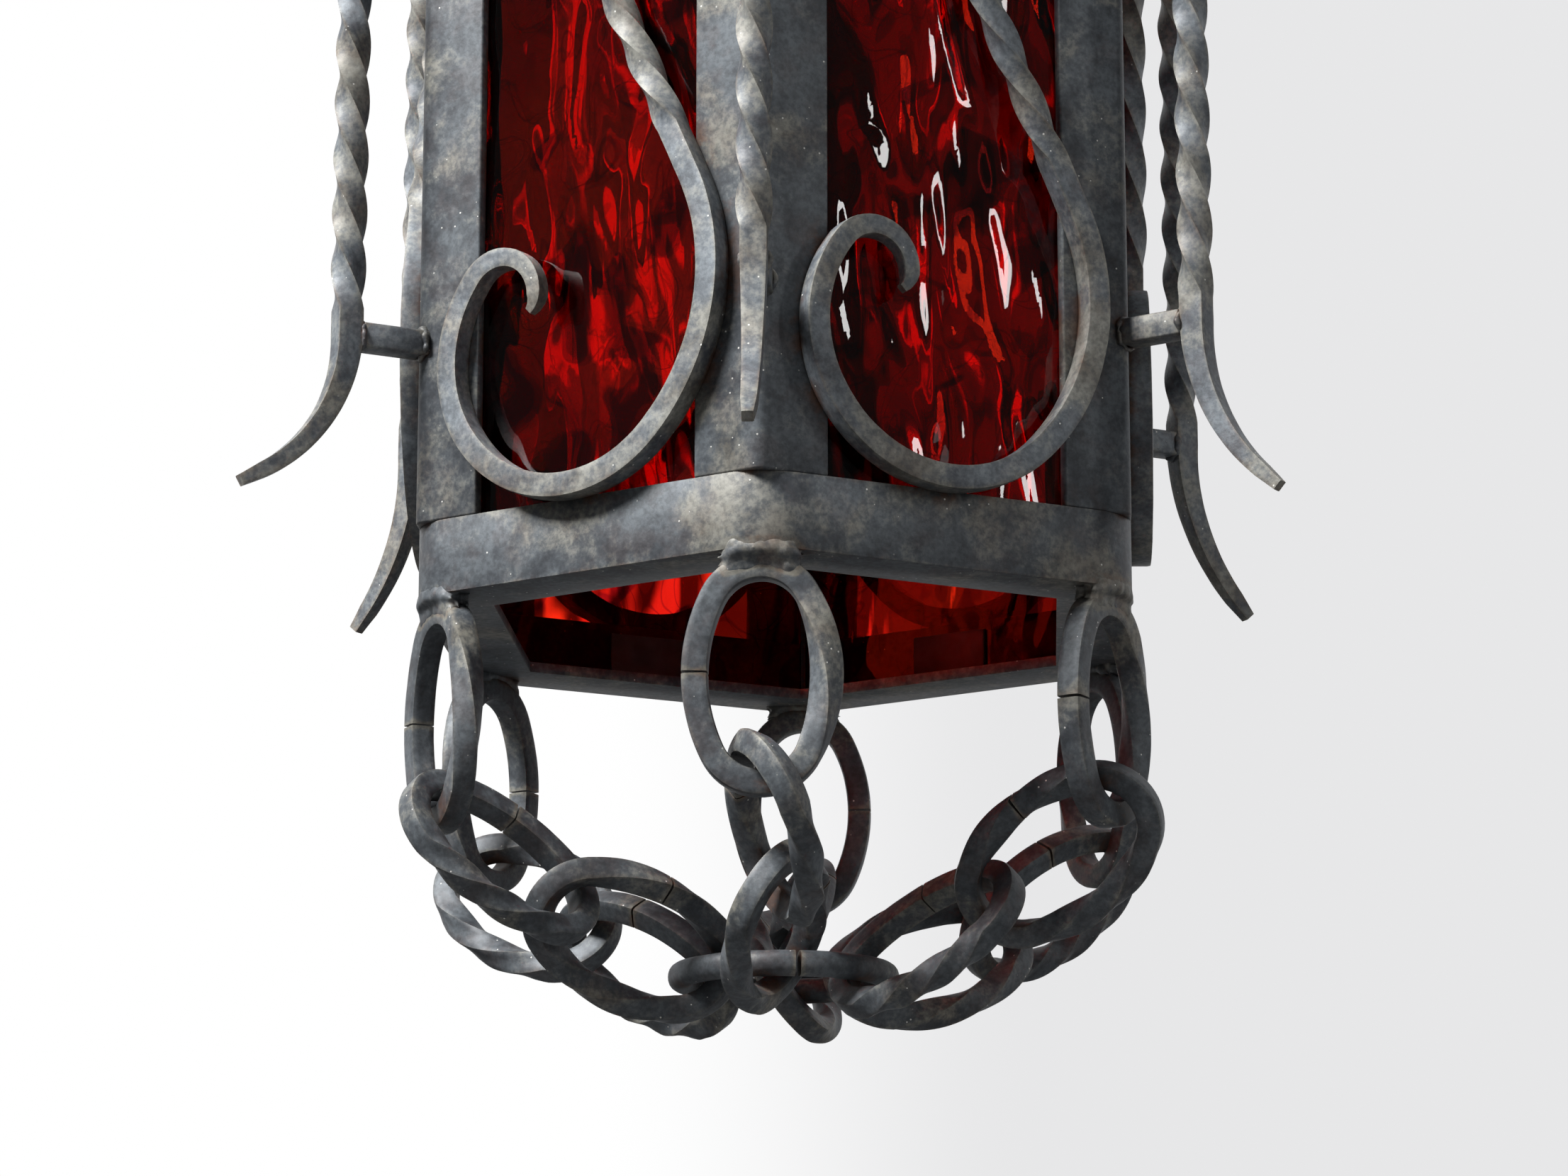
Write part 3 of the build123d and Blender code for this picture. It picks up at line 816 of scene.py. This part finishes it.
# Seats are shares of the bar, and angles are in degrees.
chain = {
    "seam": 0.0006,
    "endShare": 0.8,
    "twist": -90.0,
    "looseTwists": ((-180.0, -45.0), (-270.0, 0.0), (-180.0, -90.0)),
    "squareness": 7.0,
    "worn": 0.96,
    "dips": (29.9, 21.9),
    "rolls": (33.0, -36.0),
    "shifts": (0.0025, 0.0005),
    "loopSeat": 1.41,
    "linkSeat": 1.63,
    "ringSeat": 1.3,
    "loopSlack": 0.0005,
    "linkSlack": 0.0009,
    "plateEdge": 0.005,
    "ringShare": 0.69,
    "ringSweep": 357.5,
    "ringSeam": -78.0,
    "ringSquareness": 2.3,
}
seats = (
    (chain["loopSeat"] + chain["linkSeat"] / 2) * lamp["barSize"],
    (chain["linkSeat"] / 2 + chain["ringSeat"]) * lamp["barSize"],
)
dips = [math.radians(dip) for dip in chain["dips"]]
ringRadius = chain["ringShare"] * lamp["linkWidth"]
chainReach = loopRadius - ringRadius + sum(seat * math.cos(dip) for seat, dip in zip(seats, dips))
pitch = chainReach / sum(math.cos(dip) for dip in dips)
linkLength = pitch + lamp["barSize"]
bulge = (lamp["linkWidth"] - lamp["barSize"]) / 2
endRadius = chain["endShare"] * bulge


# A link's rows: X from its near end to its far one, with bowed sides and a butted seam half way along one.
def ovalRows(twist=chain["twist"], seamTwist=0.0):
    reach = pitch / 2 - endRadius
    sideRadius = (reach**2 + bulge**2 - endRadius**2) / (2 * (bulge - endRadius))
    lean = math.degrees(math.atan2(reach, sideRadius - bulge))
    cut = math.degrees(chain["seam"] / sideRadius)
    return traceBar((pitch / 2 + chain["seam"] / 2, -bulge), 0, [
        ("bend", sideRadius, lean, seamTwist, None),
        ("bend", endRadius, 180 - 2 * lean, 0, None),
        ("bend", sideRadius, 2 * lean, twist, None),
        ("bend", endRadius, 180 - 2 * lean, 0, None),
        ("bend", sideRadius, lean - cut, seamTwist, None),
    ])


linkForging = {"squareness": chain["squareness"], "size": chain["worn"] * half}
pattern = forgeBar("linkPattern", ovalRows(), None, chainIron, 41, **linkForging)
for name, node, level, way in (
    ("lowerLoops", "lower_loops", baseZ - half, -up),
    ("upperLoops", "upper_loops", topZ + half, up),
):
    places = [placeOn(aim(turn) * loopRadius + up * level, way, aim(turn + 90)) for turn in turns]
    dress(repeatPiece(name, pattern, places, chainIron), "lantern", "wrought_iron", node)

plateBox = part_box("gathering_plate")
plateZ = (plateBox[0][2] + plateBox[1][2]) / 2
loopTopZ = topZ + linkLength - half
climb = math.atan2(plateZ - loopTopZ, loopRadius - plateBox[1][1] + chain["plateEdge"] / 2)
taut = pitch - lamp["barSize"] - chain["linkSlack"]
looseLinks = (
    ("upper", dips[0], chain["loopSeat"] * lamp["barSize"], pitch - seats[0]),
    ("lower", dips[1], chain["linkSeat"] * lamp["barSize"] / 2, pitch - seats[1]),
)
for k, turn in enumerate(turns):
    out, side = aim(turn), aim(turn + 90)
    along = out * -math.cos(climb) + up * math.sin(climb)
    edge = along.cross(side)
    first = out * loopRadius + up * loopTopZ
    first -= along * (half * (math.cos(climb) + math.sin(climb)) + half + chain["loopSlack"])
    places = [placeOn(first + along * (i * taut), along, way) for i, way in enumerate((edge, side, edge))]
    piece = repeatPiece(f"topChain{k + 1}", pattern, places, chainIron)
    dress(piece, "lantern", "wrought_iron", f"top_chain_{k + 1}")

    start = out * loopRadius + up * (baseZ + half - linkLength)
    for i, (name, dip, back, reach) in enumerate(looseLinks):
        roll = math.radians(chain["rolls"][i])
        along = out * -math.cos(dip) - up * math.sin(dip)
        edge = along.cross(side) * math.cos(roll) + side * math.sin(roll)
        place = placeOn(start - along * back + side * chain["shifts"][i], along, edge)
        rows = ovalRows(*chain["looseTwists"][(k + 2 * i) % 3])
        piece = forgeBar(f"{name}Link{k + 1}", rows, place, chainIron, 43 + 2 * k + i, **linkForging)
        dress(piece, f"{name}_chain_{k + 1}", "wrought_iron", f"{name}_link_{k + 1}")
        start += along * reach
bpy.data.objects.remove(pattern, do_unlink=True)

rows = traceBar((ringRadius, 0), math.radians(90), [("bend", ringRadius, chain["ringSweep"], 0, None)])
place = Matrix.Translation((0, 0, start.z)) @ Matrix.Rotation(math.radians(chain["ringSeam"]), 4, "Z")
ringForging = {"squareness": chain["ringSquareness"], "points": 24}
piece = forgeBar("liftingRing", rows, place, chainIron, 61, **ringForging)
dress(piece, "lift_ring", "wrought_iron", "lifting_ring")
print("chains done")

# Crown

crown = {
    "hangRadius": 0.020,
    "eyeRadius": 0.014,
    "collarRadius": 0.009,
    "collarHeight": 0.004,
    "collarEase": 0.0008,
    "collarGap": 0.0001,
    "collarFillet": (0.0005, 0.0004),
    "shankRadius": 0.005,
    "shankEnd": 0.001,
    "threadPlay": 0.0002,
    "neckHeight": 0.009,
    "turnedFaces": 48,
}
roundForging = {"closed": True, "squareness": 2.0, "points": 24, "depth": 0.0002}
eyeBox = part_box("swivel_eye")
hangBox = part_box("hanging_ring")
hangZ = (hangBox[0][2] + hangBox[1][2]) / 2
eyeZ = eyeBox[1][2] - crown["eyeRadius"] - half / math.cos(math.pi / 8)


def hoop(radius):
    return traceBar((radius, 0), math.radians(90), [("bend", radius, 360, 0, None)])[:-1]


place = placeOn(up * hangZ, Vector((1, 0, 0)), up)
piece = forgeBar("hangingRing", hoop(crown["hangRadius"]), place, barIron, 71, **roundForging)
dress(piece, "hanger", "wrought_iron", "hanging_ring")


# A turned shape from (radius, height) pairs.
def turnedMesh(pairs):
    build = bmesh.new()
    count = crown["turnedFaces"]
    angles = [2 * math.pi * i / count for i in range(count)]
    rings = []
    for radius, height in pairs:
        spots = [(radius * math.cos(angle), radius * math.sin(angle), height) for angle in angles]
        rings.append([build.verts.new(spot) for spot in spots])
    for low, high in zip(rings, rings[1:]):
        for i in range(count):
            build.faces.new((low[i], low[(i + 1) % count], high[(i + 1) % count], high[i]))
    build.faces.new(rings[0][::-1])
    build.faces.new(rings[-1])
    bmesh.ops.recalc_face_normals(build, faces=build.faces)
    mesh = bpy.data.meshes.new("turned")
    build.to_mesh(mesh)
    build.free()
    shadeMesh(mesh, "turned")
    return mesh


def joinPieces(parts):
    bpy.ops.object.select_all(action="DESELECT")
    for part in parts:
        part.select_set(True)
    bpy.context.view_layer.objects.active = parts[0]
    bpy.ops.object.join()
    return parts[0]


place = placeOn(up * eyeZ, Vector((0, 1, 0)), up)
eyeRing = forgeBar("swivelEye", hoop(crown["eyeRadius"]), place, barIron, 73, **roundForging)
shankLow = eyeBox[0][2]
collarLow = plateBox[1][2] + crown["collarGap"]
shank, collar, ease = crown["shankRadius"], crown["collarRadius"], crown["collarEase"]
thread = shank - crown["threadPlay"]
filletOut, filletUp = crown["collarFillet"]
neck = turnedMesh([
    (shank - crown["shankEnd"], shankLow),
    (thread, shankLow + crown["shankEnd"]),
    (thread, collarLow),
    (collar - ease, collarLow),
    (collar, collarLow + ease),
    (collar, collarLow + crown["collarHeight"] - ease),
    (collar - ease, collarLow + crown["collarHeight"]),
    (shank + filletOut, collarLow + crown["collarHeight"] + filletUp),
    (shank, collarLow + crown["neckHeight"]),
])
neck.materials.append(barIron)
dress(joinPieces([eyeRing, newPiece("neck", neck)]), "eye", "wrought_iron", "swivel_eye")
easeNode("gathering_plate", 0.0006, angleIron, "wrought_iron")
easeNode("swivel_washer", 0.0003, barIron, "wrought_iron")
easeNode("swivel_nut", 0.0004, barIron, "wrought_iron")
print("crown done")

# Lampholder and clips

for node, width, material, slot in (
    ("glass_clips", 0.0002, springSteel, "spring_steel"),
    ("lampholder_strap", 0.0004, springSteel, "spring_steel"),
    ("strap_bolts", 0.0004, springSteel, "spring_steel"),
    ("threaded_tube", 0.0003, dullBrass, "brass"),
    ("tube_nut", 0.0003, dullBrass, "brass"),
    ("lampholder_cup", 0.0008, porcelain, "porcelain"),
    ("lampholder_shell", 0.0002, dullBrass, "brass"),
):
    easeNode(node, width, material, slot)
print("lampholder done")

# Welds

# Rows on the ring's front and the loop's are (depth behind it, drop, size), and sizes are shares of a bead.
# Fills lie behind the ring's front and on both sides of the loops' circle.
weld = {
    "beadSize": 0.0018,
    "unevenness": (0.75, 1.2),
    "voxel": 0.0005,
    "smoothing": 16,
    "stubBeads": 16,
    "stubRadius": 0.0040,
    "stubScatter": 0.0003,
    "postDepth": 0.0006,
    "postSpread": 1.05,
    "postSizes": (0.45, 0.85),
    "rodDepth": 0.0001,
    "rodSpread": 0.95,
    "rodSize": 0.6,
    "halfWidth": 0.0122,
    "feather": 0.0048,
    "steps": 16,
    "ringRows": ((0.0009, -0.0024, 0.42), (0.0010, -0.0012, 0.62), (0.0013, 0.0, 0.80)),
    "middleRow": (0.0004, 0.90),
    "loopRows": ((0.0011, 0.0012, 0.90), (0.0009, 0.0028, 0.68), (0.0008, 0.0044, 0.44)),
    "scatter": 0.0002,
    "ringFill": 0.0022,
    "loopFills": (0.0006, -0.0024),
    "fillSize": 0.80,
    "coreSize": 0.60,
    "coreGrowth": 220,
}
loopCrown = endRadius + half


# Lumps of weld, larger or smaller at random, set at given points.
def makeWeldTree():
    tree, inside = newTree("weldBeads", [
        ("Bead Size", "NodeSocketFloat", 0.002),
        ("Seed", "NodeSocketInt", 5),
    ])
    link = tree.links.new
    bead = addNode(tree, "GeometryNodeMeshIcoSphere", Radius=1.0, Subdivisions=3)
    chance = addNode(tree, "FunctionNodeRandomValue", data_type="FLOAT")
    chance.inputs[2].default_value, chance.inputs[3].default_value = weld["unevenness"]
    link(inside.outputs["Seed"], chance.inputs["Seed"])
    size = times(tree, chance.outputs[1], inside.outputs["Bead Size"])
    size = times(tree, size, attributeNode(tree, "size"))
    copies = tree.nodes.new("GeometryNodeInstanceOnPoints")
    link(inside.outputs["Geometry"], copies.inputs["Points"])
    link(bead.outputs["Mesh"], copies.inputs["Instance"])
    link(size, copies.inputs["Scale"])
    return endTree(tree, inside, copies.outputs["Instances"])


def scattered(reach):
    return Vector([random.uniform(-reach, reach) for _ in range(3)])


# Beads round both ends of a stub, on the post and on the rod.
def stubBeads(out, side, level):
    beads = []
    for i in range(weld["stubBeads"]):
        angle = 2 * math.pi * i / weld["stubBeads"]
        y, z = weld["stubRadius"] * math.cos(angle), weld["stubRadius"] * math.sin(angle)
        post = out * (lamp["cornerRadius"] - weld["postDepth"]) + side * y * weld["postSpread"]
        end = out * (rodRadius - half - weld["rodDepth"]) + side * y * weld["rodSpread"]
        scatter = scattered(weld["stubScatter"])
        beads.append((post + up * (level + z) + scatter, random.uniform(*weld["postSizes"])))
        beads.append((end + up * (level + z * weld["rodSpread"]) + scatter, weld["rodSize"]))
    return beads


# Beads that fill the wedge between a ring and a loop's crown, and feather out on the fronts of both.
def loopBeads(out, side, level, way):
    beads = []
    front, soft = loopRadius + half, ringBend["hammered"]
    for i in range(2 * weld["steps"] + 1):
        across = weld["halfWidth"] * (i / weld["steps"] - 1)
        gap = loopCrown - math.sqrt(loopCrown**2 - across**2)
        edge = bendCentre(soft) + math.sqrt(soft**2 - across**2)
        thin = min(1.0, (weld["halfWidth"] - abs(across)) / weld["feather"])
        spots = [(edge - back, drop, size * thin) for back, drop, size in weld["ringRows"]]
        back, size = weld["middleRow"]
        spots.append(((edge + front) / 2 - back, gap / 2, size * thin))
        spots += [(front - back, gap + drop, size * thin) for back, drop, size in weld["loopRows"]]
        for reach in (edge - weld["ringFill"], *(loopRadius + shift for shift in weld["loopFills"])):
            spots += [(reach, drop, weld["fillSize"] * thin) for drop in (0.0, gap)]
            if thin == 1.0:
                spots.append((reach, gap / 2, weld["coreSize"] + gap * weld["coreGrowth"]))
        for reach, drop, size in spots:
            spot = out * reach + side * across + up * (level + way * drop)
            beads.append((spot + scattered(weld["scatter"]), size))
    return beads


random.seed(11)
beads = []
for turn in turns:
    out, side = aim(turn), aim(turn + 90)
    for level in stubLevels:
        beads += stubBeads(out, side, level)
    for level, way in ((baseZ, -1), (topZ, 1)):
        beads += loopBeads(out, side, level, way)
spots, sizes = zip(*beads)
values = {"Bead Size": weld["beadSize"], "Material": weldIron}
welds = bakeTree(pointHost("weldPoints", spots, size=sizes), makeWeldTree(), values, "weldBeads")
skin = welds.modifiers.new("fusedBeads", "REMESH")
skin.mode = "VOXEL"
skin.voxel_size = weld["voxel"]
welds.modifiers.new("easedBeads", "SMOOTH").iterations = weld["smoothing"]
fused = settleMesh(welds)
fused.materials.clear()
fused.materials.append(weldIron)
fused.shade_smooth()
welds = newPiece("weldBeads", fused)
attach(welds, "lantern")
print("welds done")

# Floor, light and camera

# Heights of the lights and the camera are above the lower ring's underside. Edges are in parts of a
# direction: the first value of each is where its change begins.
studio = {
    "floorDrop": 1.4,
    "floorReach": 6.0,
    "floorGlow": 1.0,
    "floorColors": ((0.20, 0.20, 0.20), (0.23, 0.23, 0.23)),
    "floorNoise": (3, 3),
    "floorRoughness": 0.8,
    "floorShine": (0.80, 0.80, 0.80, 1.0),
    "backdropLeft": 1.0,
    "backdropRight": (0.80, 0.80, 0.808),
    "backdropEdge": (-0.10, 0.0),
    "throughTop": 0.35,
    "throughLeft": 2.20,
    "throughRight": 0.20,
    "throughEdge": (-0.14, -0.07),
    "throughHeight": (0.62, 0.34),
    "mirrored": 0.06,
    "mirrorEdge": (0.0, 0.5),
    "ambientLow": 0.02,
    "ambientHigh": (0.22, 0.22, 0.2244),
    "ambientHeight": (-0.2, 0.6),
    "lightTarget": (0.0, 0.0, 0.1),
    "lights": {
        "keyLight": {"place": (-1.2, -0.97, 1.6), "size": (0.7, 0.7), "power": 118.0},
        "fillLight": {"place": (0.75, -1.75, 0.0), "size": (1.2, 1.0), "power": 3.4},
        "stripLight": {"place": (1.88, -0.70, 0.58), "size": (0.13, 0.8), "power": 4.2},
    },
    "cameraPlace": (0.0692, -1.2076, -0.2631),
    "cameraTarget": (0.00012, 0.00001, 0.01376),
    "lens": 102.84,
    "sensor": 36,
    "nearest": 0.02,
}


def aboveBase(place):
    return Vector(place) + up * baseZ


def turnTo(item, target):
    item.rotation_euler = (target - item.location).to_track_quat("-Z", "Y").to_euler()


def makeFloor():
    reach = studio["floorReach"]
    corners = [(-reach, -reach, 0), (reach, -reach, 0), (reach, reach, 0), (-reach, reach, 0)]
    mesh = bpy.data.meshes.new("floor")
    mesh.from_pydata(corners, [], [(0, 1, 2, 3)])
    mesh.transform(Matrix.Translation((0, 0, baseZ - studio["floorDrop"])))
    material, tree, shader, coords = newMaterial("paleFloor")
    color = mixColors(tree, noiseNode(tree, coords, *studio["floorNoise"]), *studio["floorColors"])
    tree.links.new(color, shader.inputs["Base Color"])
    shader.inputs["Roughness"].default_value = studio["floorRoughness"]
    shader.inputs["Emission Color"].default_value = studio["floorShine"]
    seen = tree.nodes.new("ShaderNodeLightPath").outputs["Is Camera Ray"]
    tree.links.new(times(tree, seen, studio["floorGlow"]), shader.inputs["Emission Strength"])
    mesh.materials.append(material)
    newPiece("floor", mesh)


# A plain pale backdrop, brighter on the left. Glass looks through to it at levels of its own, and metal
# mirrors the backdrop behind and a dim room in front.
def makeWorld():
    world = bpy.data.worlds.new("studio")
    bpy.context.scene.world = world
    world.use_nodes = True
    tree = world.node_tree
    path = tree.nodes.new("ShaderNodeLightPath").outputs
    x, y, z = splitVector(tree, tree.nodes.new("ShaderNodeTexCoord").outputs["Generated"])

    # One grey turning into another or into a color along an axis.
    def shadeAlong(axis, edge, first, second):
        first, second = ((c, c, c) if isinstance(c, float) else c for c in (first, second))
        return mixColors(tree, rampNode(tree, axis, *studio[edge]), first, second)

    backdrop = shadeAlong(x, "backdropEdge", studio["backdropLeft"], studio["backdropRight"])
    behind = shadeAlong(x, "throughEdge", studio["throughLeft"], studio["throughRight"])
    through = shadeAlong(z, "throughHeight", studio["throughTop"], behind)
    mirrored = shadeAlong(y, "mirrorEdge", studio["mirrored"], backdrop)
    room = shadeAlong(z, "ambientHeight", studio["ambientLow"], studio["ambientHigh"])
    color = mixColors(tree, path["Is Glossy Ray"], room, mirrored)
    color = mixColors(tree, path["Is Transmission Ray"], color, through)
    color = mixColors(tree, path["Is Camera Ray"], color, backdrop)
    tree.links.new(color, tree.nodes["Background"].inputs["Color"])


def addLight(name, place, size, power):
    light = bpy.data.lights.new(name, "AREA")
    light.shape = "RECTANGLE"
    light.size, light.size_y = size
    light.energy = power
    holder = bpy.data.objects.new(name, light)
    holder.location = aboveBase(place)
    turnTo(holder, aboveBase(studio["lightTarget"]))
    bpy.context.scene.collection.objects.link(holder)


def addCamera():
    camera = bpy.data.objects.new("camera", bpy.data.cameras.new("camera"))
    camera.location = aboveBase(studio["cameraPlace"])
    turnTo(camera, aboveBase(studio["cameraTarget"]))
    camera.data.sensor_width = studio["sensor"]
    camera.data.lens = studio["lens"]
    camera.data.clip_start = studio["nearest"]
    bpy.context.scene.collection.objects.link(camera)
    bpy.context.scene.camera = camera


makeFloor()
makeWorld()
for name, values in studio["lights"].items():
    addLight(name, **values)
addCamera()
bpy.context.scene.view_settings.view_transform = "Standard"
print("studio done")
